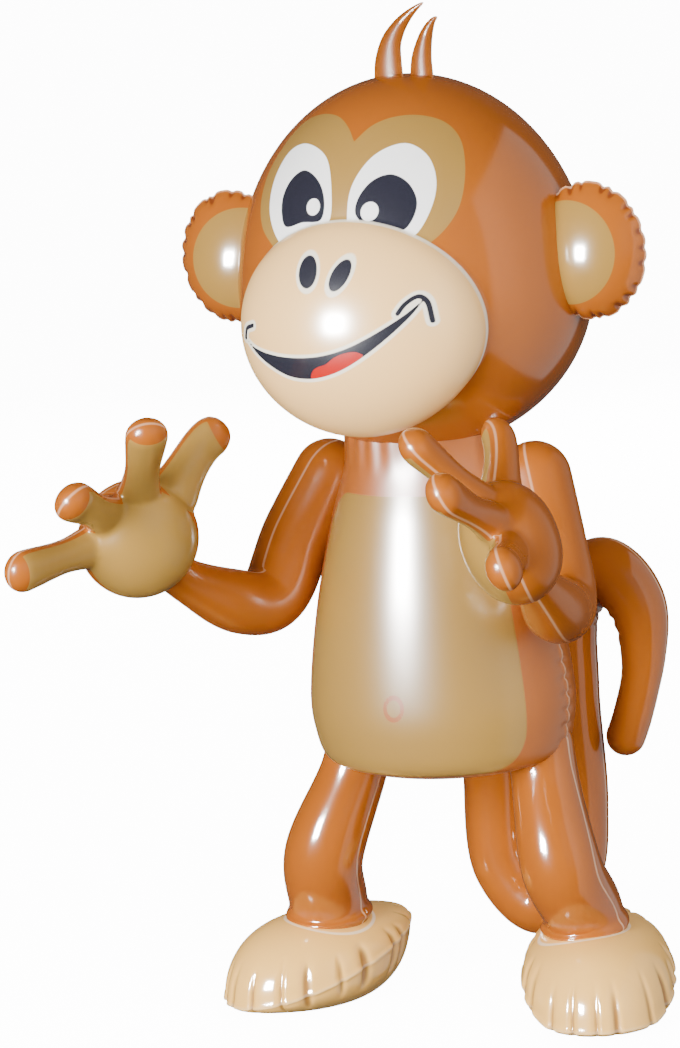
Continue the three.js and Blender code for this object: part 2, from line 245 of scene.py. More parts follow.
LEFT_GLINT = (14.5, 52.5, 5.2)
RIGHT_GLINT = (-21.5, 55.5, 4.6)
LEFT_NOSTRIL = {"middle": (8, 20.5), "half": (5.2, 9), "lean": math.radians(26)}
RIGHT_NOSTRIL = {"middle": (-12.5, 22.5), "half": (6, 8.8), "lean": math.radians(-8)}
LIP_ABOVE = (
    (-60, -16), (-51, -20.5), (-36, -23.5), (-20, -24.5), (-4, -23.5), (11, -20), (23, -15),
    (35, -8.5), (45, -2), (53.5, 5.5),
)
LIP_BELOW = (
    (53.5, 5.5), (48, -2.5), (39, -11.5), (27, -21), (14, -29), (2, -34), (-11, -36.5),
    (-25, -35.5), (-37, -31), (-48, -25), (-60, -16),
)
TONGUE = (
    (-10.5, -36.8), (-9, -32), (-5, -29.5), (0, -28), (5, -24.5), (12, -21.8), (19, -21.5),
    (24, -25), (12, -31.5), (0, -35.8),
)
TONGUE_INSET = 0.1
LEFT_DIMPLE = ((41, -1.5), (44.5, 3.5), (50.5, 7), (54.5, 4), (57.5, -7))
RIGHT_DIMPLE = ((-52, -8), (-58.5, -10.5), (-60.5, -16))
PRINT_LINE = 1.2
PRINT_HALO = 1.9

# The pale line round the muzzle's weld, partly a painted highlight on its raised edge, and the dark seam
# over the back of the head
MUZZLE_LINE = 1.1
BACK_SEAM_BEHIND = 45
BACK_SEAM_LINE = 0.7
BACK_SEAM_LOWEST = -75

# The belly print: half its width as an angle round the body, its levels above the body's base
BELLY_HALF_ANGLE = math.radians(59)
BELLY_BASE = 4
BELLY_TOP = 167
BELLY_CORNER = 24
BELLY_RADIUS = BODY_WIDTH / 2 * 0.95
NAVEL_LEVEL = 46.4
NAVEL_HALF = (5.4, 6.6)
NAVEL_LEAN = 0.15
NAVEL_LINE = 1.2
BASE_WELD_LEVEL = 2

# The ear print: how far across from the middle of the head it lies, and half its width and height
EAR_PRINT_ACROSS = 104
EAR_PRINT_HALF = (30, 29.5)

# The palm print: how far it stays off the mid-plane of hand and digits, as a share of their
# half-thickness (a share above 1 keeps it off the limb), off the tips of the digits, and where it
# starts between wrist and hand
HAND_RIM = 0.4
DIGIT_RIM = 0.3
LIMB_RIM = 2
FINGERTIP_RIM = 8
PALM_START = 0.35

# The stops it is measured from: the first on a digit, and on the limb the last as a share of its
# length and the step between them
FIRST_DIGIT_STOP = 8
LAST_LIMB_SHARE = 0.86
LIMB_STOP_STEP = 6

# The painted highlight round each ankle: a pale ring printed on the foot
ANKLE_RING_GAP = 3
ANKLE_RING_FORWARD = 2
ANKLE_RING_RISE = 8
LEG_SEAM_FORWARD = 4

# The depth share of a crease at which its painted shade starts, and how many millimetres a share of 1
# counts for
FOOT_FOLD_SHADE = 0.5
EAR_FOLD_SHADE = 0.3
FOLD_SHADE_SCALE = 3

# A distance at which nothing is printed
NO_PRINT = 99

# Voxel size and smoothing passes that melt the arms and the hair into one skin each
ARM_SKIN = {"voxel": 1.5, "passes": 5}
HAIR_SKIN = {"voxel": 0.5, "passes": 2}

# Colours of the film and its prints, with painted shade for the hair and the creases, and painted
# highlight along the welds and round the ankles
ORANGE = "#9e5414"
# The hair's orange: the same film as the body, printed darker as painted shade
PAINTED_SHADE_HAIR_ORANGE = "#7d420f"
TAN = "#987536"
BEIGE = "#fcca82"
FOOT_TAN = "#f6be64"
WHITE = "#fdfcfa"
INK = "#22222c"
RED = "#b8140a"
# Cream for the printed halo, and for pale weld lines and painted highlights
CREAM_PRINT_AND_PAINTED_HIGHLIGHT = "#faf0da"
VALVE = "#d8cdb8"
# Dark seam colour, also painted shade in the ears' creases
DARK_SEAM_AND_PAINTED_CREASE_SHADE = "#6e3010"
# Pale weld lines, partly painted highlight on their raised edges
PALE_WELD_AND_PAINTED_HIGHLIGHT = "#efc19c"
# Painted shade in the feet's creases
PAINTED_FOOT_CREASE_SHADE = "#8a5a26"

# Roughness of most prints, the film's faint unevenness of colour, and its shallow waviness
PRINT_ROUGHNESS = 0.22
CLOUD_SCALE = 9
CLOUD_STRENGTH = 0.07
WAVE_SCALE = 26
WAVE_STRENGTH = 0.12
WAVE_DEPTH = 0.0012

# Camera and studio, in metres and radians, with lens and sensor in millimetres
CAMERA_AZIMUTH = math.radians(26)
CAMERA_ELEVATION = math.radians(10)
CAMERA_ROLL = math.radians(-4)
CAMERA_DISTANCE = 2.4
CAMERA_LENS = 140
CAMERA_SENSOR = 36
CAMERA_CLIP = 50
AIM_LEFT = 0.0538
AIM_LEVEL = 0.298
LAMP_AIM_LEVEL = 0.32
FLOOR_SIZE = 60
BACKDROP_RADIUS = 29
FLOOR_GLOW = 13
BACKDROP_GLOW = 15
AMBIENT = 0.09

torso_low, torso_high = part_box("torso")
SHIFT = Vector(((torso_low.x + torso_high.x) / 2, (torso_low.y + torso_high.y) / 2, 0))


# Numbers and curves

def vec(*numbers):
    return np.array(numbers, float)


def run(steps, side):
    """A run given as outward, forward and up, as a vector on the figure's left or right side."""
    outward, forward, up = steps
    return vec(outward * side, -forward, up)


def unit(v):
    return v / np.linalg.norm(v)


def smooth(x, low, high):
    t = np.clip((x - low) / (high - low), 0, 1)
    return t * t * (3 - 2 * t)


def between(x, start, full, fade, end):
    """0 outside start and end, 1 from full to fade, smooth in the gaps."""
    return smooth(x, start, full) * (1 - smooth(x, fade, end))


def ridge(offset, rise, spread):
    """A rise that is greatest where the offset is nought and fades over the spread."""
    return rise * np.exp(-((offset / spread) ** 2))


def spline(points, count=200, power=0.25, closed=False):
    """Points along a smooth curve through the given points, evenly spaced."""
    p = np.array(points, float)
    if closed:
        p = np.vstack([p[-1], p, p[0], p[1]])
    else:
        p = np.vstack([2 * p[0] - p[1], p, 2 * p[-1] - p[-2]])
    parts = []
    u = np.linspace(0, 1, 40, endpoint=False)[:, None]
    for i in range(1, len(p) - 2):
        a, b, c, d = p[i - 1 : i + 3]
        gaps = [max(np.sum((y - x) ** 2) ** power, 1e-6) for x, y in ((a, b), (b, c), (c, d))]
        leave = (b - a) / gaps[0] - (c - a) / (gaps[0] + gaps[1]) + (c - b) / gaps[1]
        reach = (c - b) / gaps[1] - (d - b) / (gaps[1] + gaps[2]) + (d - c) / gaps[2]
        leave = leave * gaps[1]
        reach = reach * gaps[1]
        parts.append(
            b + leave * u + (-3 * b + 3 * c - 2 * leave - reach) * u**2
            + (2 * b - 2 * c + leave + reach) * u**3
        )
    parts.append(p[-2][None, :])
    return even(np.vstack(parts), count)


def even(line, count):
    """The same line as count points with equal steps along it."""
    step = np.linalg.norm(np.diff(line, axis=0), axis=1)
    at = np.concatenate([[0], np.cumsum(step)])
    wanted = np.linspace(0, at[-1], count)
    return np.stack([np.interp(wanted, at, line[:, k]) for k in range(line.shape[1])], axis=1)


def uneven(count, low, high, density):
    """count + 1 stops from low to high, closer together where density is greater."""
    fine = np.linspace(low, high, 4000)
    total = np.cumsum(density(fine))
    return np.interp(np.linspace(total[0], total[-1], count + 1), total, fine)


def headings(line):
    """The way ahead at every point of a line, as unit vectors."""
    ahead = np.gradient(line, axis=0)
    return ahead / np.linalg.norm(ahead, axis=1)[:, None]


def line_distance(x, z, line):
    """Distance from each point to an open line in the plane."""
    best = np.full(x.shape, 1e9)
    for (ax, az), (bx, bz) in zip(line[:-1], line[1:]):
        dx, dz = bx - ax, bz - az
        t = np.clip(((x - ax) * dx + (z - az) * dz) / max(dx * dx + dz * dz, 1e-9), 0, 1)
        best = np.minimum(best, np.hypot(x - ax - t * dx, z - az - t * dz))
    return best


def shape_distance(x, z, shape):
    """Distance to a closed outline in the plane, negative inside it."""
    line = np.vstack([shape, shape[:1]])
    inside = np.zeros(x.shape, bool)
    for (ax, az), (bx, bz) in zip(line[:-1], line[1:]):
        if az == bz:
            continue
        crosses = (az > z) != (bz > z)
        inside ^= crosses & (x < ax + (z - az) * (bx - ax) / (bz - az))
    return np.where(inside, -1, 1) * line_distance(x, z, line)


def round_distance(x, z, points, count):
    """Distance to the smooth closed shape through the points, negative inside it."""
    return shape_distance(x, z, spline(points, count, closed=True))


def oval_distance(x, z, middle, half, lean=0.0):
    """Roughly the distance to an oval that leans to its right, negative inside it."""
    dx, dz = x - middle[0], z - middle[1]
    across = dx * math.cos(lean) - dz * math.sin(lean)
    up = dx * math.sin(lean) + dz * math.cos(lean)
    return (np.hypot(across / half[0], up / half[1]) - 1) * min(half)


# Skins

def even_grid(columns, rows):
    """Angles round a skin and shares from pole to pole, both with equal steps."""
    return np.linspace(0, 2 * math.pi, columns, endpoint=False), np.linspace(0, 1, rows + 1)


def grid_stops(angles, shares):
    """Angle and share of every point of a ring grid."""
    a, s = np.meshgrid(angles, shares[1:-1])
    return np.concatenate([[0], a.ravel(), [0]]), np.concatenate([[0], s.ravel(), [1]])


def ring_grid(surface, angles, shares):
    """Points and faces of a closed skin: surface(angle, share) with share 0 to 1 pole to pole."""
    a, s = np.meshgrid(angles, shares[1:-1])
    rings = surface(a.ravel(), s.ravel())
    first = surface(np.zeros(1), shares[:1])
    last = surface(np.zeros(1), shares[-1:])
    points = np.vstack([first, rings, last])
    columns = len(angles)
    ring = np.arange(columns)
    after = (ring + 1) % columns
    faces = [(0, int(1 + i), int(1 + j)) for i, j in zip(ring, after)]
    for row in range(len(shares) - 3):
        low, high = 1 + row * columns, 1 + (row + 1) * columns
        faces += [(int(low + i), int(high + i), int(high + j), int(low + j)) for i, j in zip(ring, after)]
    low, end = 1 + (len(shares) - 3) * columns, len(points) - 1
    faces += [(int(low + i), end, int(low + j)) for i, j in zip(ring, after)]
    return points, faces


def tube(curve, radius_at, across, grid, cap_share, flat=1.0, pucker=None):
    """A tube with round ends along evenly spaced points, thinner along across where flat is below 1."""
    length = np.linalg.norm(np.diff(curve, axis=0), axis=1).sum()
    stops = np.linspace(0, 1, len(curve))
    heading = headings(curve)
    first_radius = float(radius_at(0))
    last_radius = float(radius_at(1))

    def surface(angle, share):
        along = np.interp(share, [cap_share, 1 - cap_share], [first_radius, length - last_radius])
        swell = np.ones_like(share)
        low = share < cap_share
        turn = np.clip(share / cap_share, 0, 1) * math.pi / 2
        along = np.where(low, first_radius * (1 - np.cos(turn)), along)
        swell = np.where(low, np.sin(turn), swell)
        high = share > 1 - cap_share
        turn = np.clip((1 - share) / cap_share, 0, 1) * math.pi / 2
        along = np.where(high, length - last_radius * (1 - np.cos(turn)), along)
        swell = np.where(high, np.sin(turn), swell)
        at = np.clip(along / length, 0, 1)
        place = np.stack([np.interp(at, stops, curve[:, k]) for k in range(3)], axis=1)
        ahead = np.stack([np.interp(at, stops, heading[:, k]) for k in range(3)], axis=1)
        second = across - ahead * (ahead @ across)[:, None]
        second /= np.linalg.norm(second, axis=1)[:, None]
        first = np.cross(ahead, second)
        radius = radius_at(at) * swell
        if pucker:
            radius = radius - pucker(at, angle) * swell
        wide = (radius * np.cos(angle))[:, None]
        thick = (radius * flat * np.sin(angle))[:, None]
        return place + first * wide + second * thick

    return ring_grid(surface, *grid)


def edge_folds(angle, share, seed, count, width, reach):
    """Depth share of the short folds that run in from a cushion's edge weld, 1 where they are deepest."""
    edge = np.sin(math.pi * share)
    rng = np.random.default_rng(seed)
    depth = np.zeros_like(angle)
    for k in range(count):
        at = (k + rng.uniform(-0.3, 0.3)) * 2 * math.pi / count
        broad = width * rng.uniform(0.7, 1.3)
        start = 1 - reach * rng.uniform(0.45, 1)
        off = np.abs((angle - at + math.pi) % (2 * math.pi) - math.pi)
        strength = rng.uniform(0.55, 1)
        depth = np.maximum(depth, ridge(off, strength, broad) * smooth(edge, start, 1))
    return depth


# Meshes and pieces

def new_mesh(name, points, faces):
    mesh = bpy.data.meshes.new(name)
    mesh.from_pydata((points * MM).tolist(), [], faces)
    work = bmesh.new()
    work.from_mesh(mesh)
    bmesh.ops.recalc_face_normals(work, faces=work.faces)
    work.to_mesh(mesh)
    work.free()
    return mesh


def places(mesh):
    """The points of a mesh, in millimetres."""
    co = np.zeros(len(mesh.vertices) * 3)
    mesh.vertices.foreach_get("co", co)
    return co.reshape(-1, 3) / MM


def joined(parts):
    """Several skins, each as points and faces, in one."""
    points, faces, count = [], [], 0
    for part_points, part_faces in parts:
        points.append(part_points)
        faces += [tuple(i + count for i in face) for face in part_faces]
        count += len(part_points)
    return np.vstack(points), faces


def welded(name, parts, voxel, passes):
    """Melts overlapping closed skins into one smooth mesh."""
    mesh = new_mesh(name, *joined(parts))
    holder = bpy.data.objects.new(name + "_raw", mesh)
    bpy.context.scene.collection.objects.link(holder)
    remesh = holder.modifiers.new("melt", "REMESH")
    remesh.mode = "VOXEL"
    remesh.voxel_size = voxel * MM
    soften = holder.modifiers.new("soften", "SMOOTH")
    soften.factor = 0.5
    soften.iterations = passes
    graph = bpy.context.evaluated_depsgraph_get()
    made = bpy.data.meshes.new_from_object(holder.evaluated_get(graph))
    bpy.data.objects.remove(holder)
    bpy.data.meshes.remove(mesh)
    made.name = name
    return made


def add_piece(name, mesh, nodes, material, prints):
    """Puts a finished mesh in the frame in place of its CAD nodes, with its attributes for prints, painted
    shade and painted highlights.
    """
    for key, values in prints.items():
        attribute = mesh.attributes.new(key, "FLOAT", "POINT")
        attribute.data.foreach_set("value", values.astype(np.float32))
    for face in mesh.polygons:
        face.use_smooth = True
    mesh.transform(Matrix.Translation(SHIFT))
    piece = bpy.data.objects.new(name, mesh)
    bpy.context.scene.collection.objects.link(piece)
    mesh.materials.append(material)
    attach(piece, "root")
    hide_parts(*nodes)


# Film materials

def colour_of(text):
    """A '#rrggbb' colour as linear red, green, blue and alpha."""
    parts = [int(text[i : i + 2], 16) / 255 for i in (1, 3, 5)]
    return tuple(((c + 0.055) / 1.055) ** 2.4 if c > 0.04045 else c / 12.92 for c in parts) + (1,)


class Film:
    """A node material of glossy film: a ground colour, then prints, painted shade and painted highlights
    laid over it one by one.
    """

    def __init__(self, name, ground, roughness=0.12, shine=0.8):
        self.material = bpy.data.materials.new(name)
        self.material.use_nodes = True
        self.tree = self.material.node_tree
        self.shader = self.tree.nodes["Principled BSDF"]
        self.shader.inputs["Roughness"].default_value = roughness
        self.shader.inputs["IOR"].default_value = 1.5
        self.shader.inputs["Specular IOR Level"].default_value = shine
        self.colour = self.cloud(ground)
        self.roughness = None

    def node(self, kind, **values):
        made = self.tree.nodes.new(kind)
        for key, value in values.items():
            setattr(made, key, value)
        return made

    def link(self, out, into):
        self.tree.links.new(out, into)

    def noise(self, scale, detail):
        """Soft noise fixed to the piece."""
        made = self.node("ShaderNodeTexNoise")
        made.inputs["Scale"].default_value = scale
        made.inputs["Detail"].default_value = detail
        place = self.node("ShaderNodeTexCoord")
        self.link(place.outputs["Object"], made.inputs["Vector"])
        return made.outputs["Fac"]

    def cloud(self, ground):
        """The ground colour with a faint unevenness, as thin printed film has."""
        mix = self.node("ShaderNodeMix", data_type="RGBA")
        colour = colour_of(ground)[:3]
        mix.inputs["A"].default_value = tuple(c * (1 - CLOUD_STRENGTH) for c in colour) + (1,)
        mix.inputs["B"].default_value = tuple(min(1, c * (1 + CLOUD_STRENGTH)) for c in colour) + (1,)
        self.link(self.noise(CLOUD_SCALE, 2), mix.inputs["Factor"])
        return mix.outputs["Result"]

    def lay(self, attribute, ink, edge=0.25, cover=1.0, matt=None, line=None):
        """Lays a colour where the attribute, a distance in millimetres, is below nought or within line; it
        lays printed inks, painted shade and painted highlights.
        """
        source = self.node("ShaderNodeAttribute", attribute_name=attribute)
        ramp = self.node("ShaderNodeMapRange", interpolation_type="SMOOTHSTEP")
        ramp.inputs["From Min"].default_value = (line or 0) - edge
        ramp.inputs["From Max"].default_value = (line or 0) + edge
        ramp.inputs["To Min"].default_value = cover
        ramp.inputs["To Max"].default_value = 0
        mix = self.node("ShaderNodeMix", data_type="RGBA")
        mix.inputs["B"].default_value = colour_of(ink)
        distance = source.outputs["Fac"]
        if line:
            size = self.node("ShaderNodeMath", operation="ABSOLUTE")
            self.link(distance, size.inputs[0])
            distance = size.outputs[0]
        self.link(distance, ramp.inputs["Value"])
        self.link(ramp.outputs["Result"], mix.inputs["Factor"])
        self.link(self.colour, mix.inputs["A"])
        self.colour = mix.outputs["Result"]
        if matt is not None:
            self.lay_roughness(ramp.outputs["Result"], matt)
        return self

    def lay_roughness(self, mask, matt):
        """Gives the print under the mask its own roughness."""
        mix = self.node("ShaderNodeMix", data_type="FLOAT")
        mix.inputs["A"].default_value = self.shader.inputs["Roughness"].default_value
        mix.inputs["B"].default_value = matt
        self.link(mask, mix.inputs["Factor"])
        if self.roughness:
            self.link(self.roughness, mix.inputs["A"])
        self.roughness = mix.outputs["Result"]

    def finish(self):
        """Adds the film's shallow waviness and joins everything to the shader."""
        bump = self.node("ShaderNodeBump")
        bump.inputs["Strength"].default_value = WAVE_STRENGTH
        bump.inputs["Distance"].default_value = WAVE_DEPTH
        self.link(self.noise(WAVE_SCALE, 1), bump.inputs["Height"])
        self.link(bump.outputs["Normal"], self.shader.inputs["Normal"])
        self.link(self.colour, self.shader.inputs["Base Color"])
        if self.roughness:
            self.link(self.roughness, self.shader.inputs["Roughness"])
        return self.material


head_film = (
    Film("face_film", ORANGE)
    .lay("mask", TAN, matt=PRINT_ROUGHNESS)
    .lay("eye", WHITE, matt=PRINT_ROUGHNESS)
    .lay("pupil", INK, matt=0.15)
    .lay("muzzle", BEIGE, matt=PRINT_ROUGHNESS)
    .lay("halo", CREAM_PRINT_AND_PAINTED_HIGHLIGHT, edge=0.5)
    .lay("ink", INK)
    .lay("tongue", RED)
    # A pale line along the muzzle's weld, partly a painted highlight on its raised edge
    .lay("weld", CREAM_PRINT_AND_PAINTED_HIGHLIGHT, edge=0.5, cover=0.75)
    .lay("back_seam", DARK_SEAM_AND_PAINTED_CREASE_SHADE, edge=0.6, cover=0.5)
    .finish()
)
body_film = (
    Film("belly_film", ORANGE, roughness=0.34)
    .lay("belly", TAN, matt=0.25)
    .lay("navel", ORANGE, edge=0.4)
    # Pale lines along the side welds and the base weld, partly painted highlight on their raised edges
    .lay("seam", PALE_WELD_AND_PAINTED_HIGHLIGHT, edge=0.5, cover=0.5, line=0.8)
    .lay("rim", PALE_WELD_AND_PAINTED_HIGHLIGHT, edge=0.5, cover=0.6, line=0.9)
    .finish()
)
limb_film = (
    Film("limb_film", ORANGE)
    # A pale line along the weld, partly painted highlight on its raised edge
    .lay("seam", PALE_WELD_AND_PAINTED_HIGHLIGHT, edge=0.5, cover=0.6, line=0.7)
    .finish()
)
arm_film = (
    Film("arm_film", ORANGE, roughness=0.24, shine=0.3)
    .lay("palm", TAN, matt=0.2)
    # A pale line along the weld, partly painted highlight on its raised edge
    .lay("seam", PALE_WELD_AND_PAINTED_HIGHLIGHT, edge=0.5, cover=0.4, line=0.7)
    .finish()
)
hair_film = (
    # The hair film's darker orange is painted shade
    Film("hair_film", PAINTED_SHADE_HAIR_ORANGE, roughness=0.2, shine=0.2)
    # A pale line along the curls' weld, partly painted highlight on its edge
    .lay("rim", PALE_WELD_AND_PAINTED_HIGHLIGHT, edge=0.5, cover=0.7, line=0.5)
    .finish()
)
ear_film = (
    Film("ear_film", ORANGE)
    .lay("patch", TAN, matt=0.15)
    # Painted shade along the creases that run in from the ear's rim weld
    .lay("painted_crease_shade", DARK_SEAM_AND_PAINTED_CREASE_SHADE, edge=0.6, cover=0.8)
    # A pale line along the ear's weld, partly painted highlight on its raised edge
    .lay("seam", PALE_WELD_AND_PAINTED_HIGHLIGHT, edge=0.5, cover=0.4, line=0.8)
    .finish()
)
foot_film = (
    Film("foot_film", FOOT_TAN)
    # Painted shade along the creases that run in from the foot's weld
    .lay("painted_crease_shade", PAINTED_FOOT_CREASE_SHADE, edge=0.9, cover=0.85)
    # A faint pale line along the foot's weld, partly painted highlight on its raised edge
    .lay("seam", CREAM_PRINT_AND_PAINTED_HIGHLIGHT, edge=0.5, cover=0.15, line=0.8)
    # Painted highlight: a pale ring round the ankle
    .lay("ring", CREAM_PRINT_AND_PAINTED_HIGHLIGHT, edge=0.5, cover=0.6, line=0.9)
    .finish()
)
valve_plastic = Film("valve_plastic", VALVE, roughness=0.45).finish()


# Head

def egg_radius(x, y, z):
    upright = np.where(z > 0, CROWN_HEIGHT, CHIN_HEIGHT)
    return 1 / np.sqrt((x / (HEAD_WIDTH / 2)) ** 2 + (y / (HEAD_DEPTH / 2)) ** 2 + (z / upright) ** 2)


def head_place(turn, rise):
    """Point on the head in a direction from its middle, and how far that lies outside the muzzle."""
    x = np.sin(turn) * np.cos(rise)
    y = -np.cos(turn) * np.cos(rise)
    z = np.sin(rise)
    reach = np.hypot(turn / (MUZZLE_ACROSS / 2), (rise - MUZZLE_TILT) / (MUZZLE_UPRIGHT / 2))
    lower = np.clip((MUZZLE_TILT - rise) / (MUZZLE_UPRIGHT / 2), -1, 1)
    bulge = MUZZLE_BULGE * (1 + MUZZLE_DROOP * lower)
    dome = bulge * (1 - np.minimum(1, reach) ** 2) ** MUZZLE_FULLNESS
    outside = (reach - 1) * MUZZLE_UPRIGHT / 2 * HEAD_WIDTH / 2
    radius = egg_radius(x, y, z) + dome + ridge(outside, *HEAD_WELD)
    return np.stack([x * radius, y * radius, z * radius], axis=1), outside


def mask_distance(x, z):
    notch = np.array([MASK_NOTCH])
    left = spline(np.vstack([notch, MASK_LEFT_LOBE]), 60)
    right = spline(np.vstack([notch, MASK_RIGHT_LOBE]), 60)
    return shape_distance(x, z, np.vstack([left, right[::-1][:-1]]))


def pupil_distance(x, z):
    pupils = np.minimum(round_distance(x, z, LEFT_PUPIL, 60), round_distance(x, z, RIGHT_PUPIL, 60))
    for across, up, radius in (LEFT_GLINT, RIGHT_GLINT):
        pupils = np.maximum(pupils, radius - np.hypot(x - across, z - up))
    return pupils


def face_prints(x, y, z, outside):
    """The distances of the head's prints, and of the pale weld line round the muzzle that is partly
    painted highlight, at points given from its middle.
    """
    away = np.where(y < 0, 0, NO_PRINT)
    lips = np.vstack([spline(LIP_ABOVE, 60), spline(LIP_BELOW, 60)[1:-1]])
    mouth = shape_distance(x, z, lips)
    ink = mouth
    for line in (LEFT_DIMPLE, RIGHT_DIMPLE):
        ink = np.minimum(ink, line_distance(x, z, spline(line, 24)) - PRINT_LINE)
    for nostril in (LEFT_NOSTRIL, RIGHT_NOSTRIL):
        ink = np.minimum(ink, oval_distance(x, z, **nostril))
    eyes = np.minimum(round_distance(x, z, LEFT_EYE, 70), round_distance(x, z, RIGHT_EYE, 70))
    below_seam = np.where(z > BACK_SEAM_LOWEST, 0, NO_PRINT)
    return {
        "mask": mask_distance(x, z) + away,
        "eye": eyes + away,
        "pupil": pupil_distance(x, z) + away,
        "muzzle": outside,
        "ink": ink + away,
        "halo": ink - PRINT_HALO + away,
        "tongue": np.maximum(round_distance(x, z, TONGUE, 60), mouth + TONGUE_INSET) + away,
        # Pale weld line, partly painted highlight
        "weld": np.abs(outside) - MUZZLE_LINE,
        "back_seam": np.abs(y - BACK_SEAM_BEHIND) - BACK_SEAM_LINE + below_seam,
    }


def make_head():
    columns, rows = 420, 226
    turns = uneven(columns, -math.pi, math.pi, lambda t: 1 + 2.2 * np.exp(-((t / 1.25) ** 4)))[:-1]
    shares = uneven(rows, 0, 1, lambda s: 1 + 1.3 * np.exp(-(((s - 0.6) / 0.3) ** 4)))

    def surface(turn, share):
        return head_place(turn, (share - 0.5) * math.pi)[0]

    points, faces = ring_grid(surface, turns, shares)
    turn, share = grid_stops(turns, shares)
    outside = head_place(turn, (share - 0.5) * math.pi)[1]
    prints = face_prints(*points.T, outside)
    points[:, 2] += HEAD_LEVEL
    mesh = new_mesh("dressed_head", points, faces)
    add_piece("dressed_head", mesh, ["head"], head_film, prints)


# Body

body_outline = spline(BODY_OUTLINE, 400, power=0)


def outline_at(share):
    """Half-width and level of the body's outline, both as shares, at a share of its length."""
    stops = np.linspace(0, 1, len(body_outline))
    return np.interp(share, stops, body_outline[:, 0]), np.interp(share, stops, body_outline[:, 1])


def body_place(angle, share):
    """Point on the body: its base closes below the first share and its neck above the second."""
    base_share, top_share = 0.1, 0.96
    wide, up = outline_at(np.clip((share - base_share) / (top_share - base_share), 0, 1))
    closing = np.where(share < base_share, share / base_share, 1)
    closing = np.where(share > top_share, (1 - share) / (1 - top_share), closing)
    off_seam = np.abs(np.sin(angle)) * BODY_WIDTH / 2
    level = BODY_HEIGHT * up
    wave = np.cos(level * 2 * math.pi / BODY_PUCKER_PITCH)
    wave = wave * ridge(off_seam, BODY_PUCKER_DEPTH, BODY_PUCKER_SPREAD)
    pucker = wave * between(level, *BODY_PUCKER_LEVELS) - BODY_PUCKER_NOTCH * smooth(wave, 0, 2)
    folds = NECK_FOLD_DEPTH * np.cos(NECK_FOLDS * angle + 3 * np.sin(3 * angle)) * smooth(up, 0.87, 1)
    grow = ridge(off_seam, *BODY_WELD) * closing + folds
    grow = grow + np.where(closing < 1, 0, np.minimum(pucker, 0))
    return np.stack(
        [
            (BODY_WIDTH / 2 * wide + grow) * closing * np.cos(angle),
            -(BODY_DEPTH / 2 * wide + grow) * closing * np.sin(angle),
            TORSO_BASE + level,
        ],
        axis=1,
    )


def belly_distance(angle, level):
    """Distance to the belly print, a patch with round corners, negative inside it."""
    over = np.abs(angle) * BELLY_RADIUS - (BELLY_HALF_ANGLE * BELLY_RADIUS - BELLY_CORNER)
    up = np.abs(level - (BELLY_TOP + BELLY_BASE) / 2) - ((BELLY_TOP - BELLY_BASE) / 2 - BELLY_CORNER)
    outside = np.hypot(np.maximum(over, 0), np.maximum(up, 0))
    return outside + np.minimum(np.maximum(over, up), 0) - BELLY_CORNER


def make_body():
    points, faces = ring_grid(body_place, *even_grid(280, 190))
    x, y, z = points.T
    angle = np.arctan2(x / BODY_WIDTH, -y / BODY_DEPTH)
    level = z - TORSO_BASE
    navel = np.abs(oval_distance(x, level, (0, NAVEL_LEVEL), NAVEL_HALF, NAVEL_LEAN)) - NAVEL_LINE
    prints = {
        "belly": belly_distance(angle, level),
        "navel": navel + np.where(y < 0, 0, NO_PRINT),
        "seam": (np.abs(angle) - math.pi / 2) * BELLY_RADIUS,
        "rim": level - BASE_WELD_LEVEL,
    }
    mesh = new_mesh("dressed_body", points, faces)
    add_piece("dressed_body", mesh, ["torso"], body_film, prints)


# Feet and legs

def make_foot(name, shape, seed):
    side, back = shape["side"], shape["back"]
    sole_depth = 1 / math.sqrt(1 - SOLE_SHARE**2)
    splay = FOOT_SPLAY * side

    def surface(angle, share):
        upright = np.cos(math.pi * share)
        pinch = FOOT_FOLD_DEPTH * edge_folds(angle, share, seed, **FOOT_FOLDS)
        plump = np.sin(math.pi * share) ** FOOT_FULLNESS
        width = np.interp(plump * np.sin(angle), [-1, 1], [TOE_WIDTH, HEEL_WIDTH])
        weld = ridge(upright * FOOT_SEAM_LEVEL, *FOOT_WELD)
        across = (width / 2 - pinch + weld) * plump * np.cos(angle)
        along = (FOOT_LENGTH / 2 - pinch + weld) * plump * np.sin(angle)
        slope = shape["slope_forward"] * along - shape["slope_inward"] * across * side
        seam_level = np.maximum(FOOT_SEAM_LOWEST, FOOT_SEAM_LEVEL + slope)
        radius = np.where(upright > 0, FOOT_HEIGHT - seam_level, seam_level * sole_depth)
        sink = pinch * FOOT_FOLD_SINK * np.maximum(upright, 0)
        up = np.maximum(0, seam_level + radius * upright - sink)
        x = across * math.cos(splay) - along * math.sin(splay) + shape["spread"] * side
        y = across * math.sin(splay) + along * math.cos(splay) + back
        return np.stack([x, y, up], axis=1)

    grid = even_grid(300, 110)
    points, faces = ring_grid(surface, *grid)
    angle, share = grid_stops(*grid)
    x, y, z = points.T
    off_ankle = np.hypot(
        x - side * (shape["spread"] - ANKLE_INSET),
        y - (back + ANKLE_BACK - ANKLE_RING_FORWARD),
    )
    # A pale ring round the ankle, a painted highlight
    ring = off_ankle - LEG_DIAMETER / 2 - ANKLE_RING_GAP
    prints = {
        # Painted shade: below nought where a crease runs deep
        "painted_crease_shade": (FOOT_FOLD_SHADE - edge_folds(angle, share, seed, **FOOT_FOLDS)) * FOLD_SHADE_SCALE,
        "seam": np.cos(math.pi * share) * FOOT_SEAM_LEVEL,
        "ring": np.where(z > FOOT_SEAM_LEVEL + ANKLE_RING_RISE, ring, NO_PRINT),
    }
    mesh = new_mesh(f"dressed_{name}_foot", points, faces)
    add_piece(f"dressed_{name}_foot", mesh, [f"{name}_foot"], foot_film, prints)


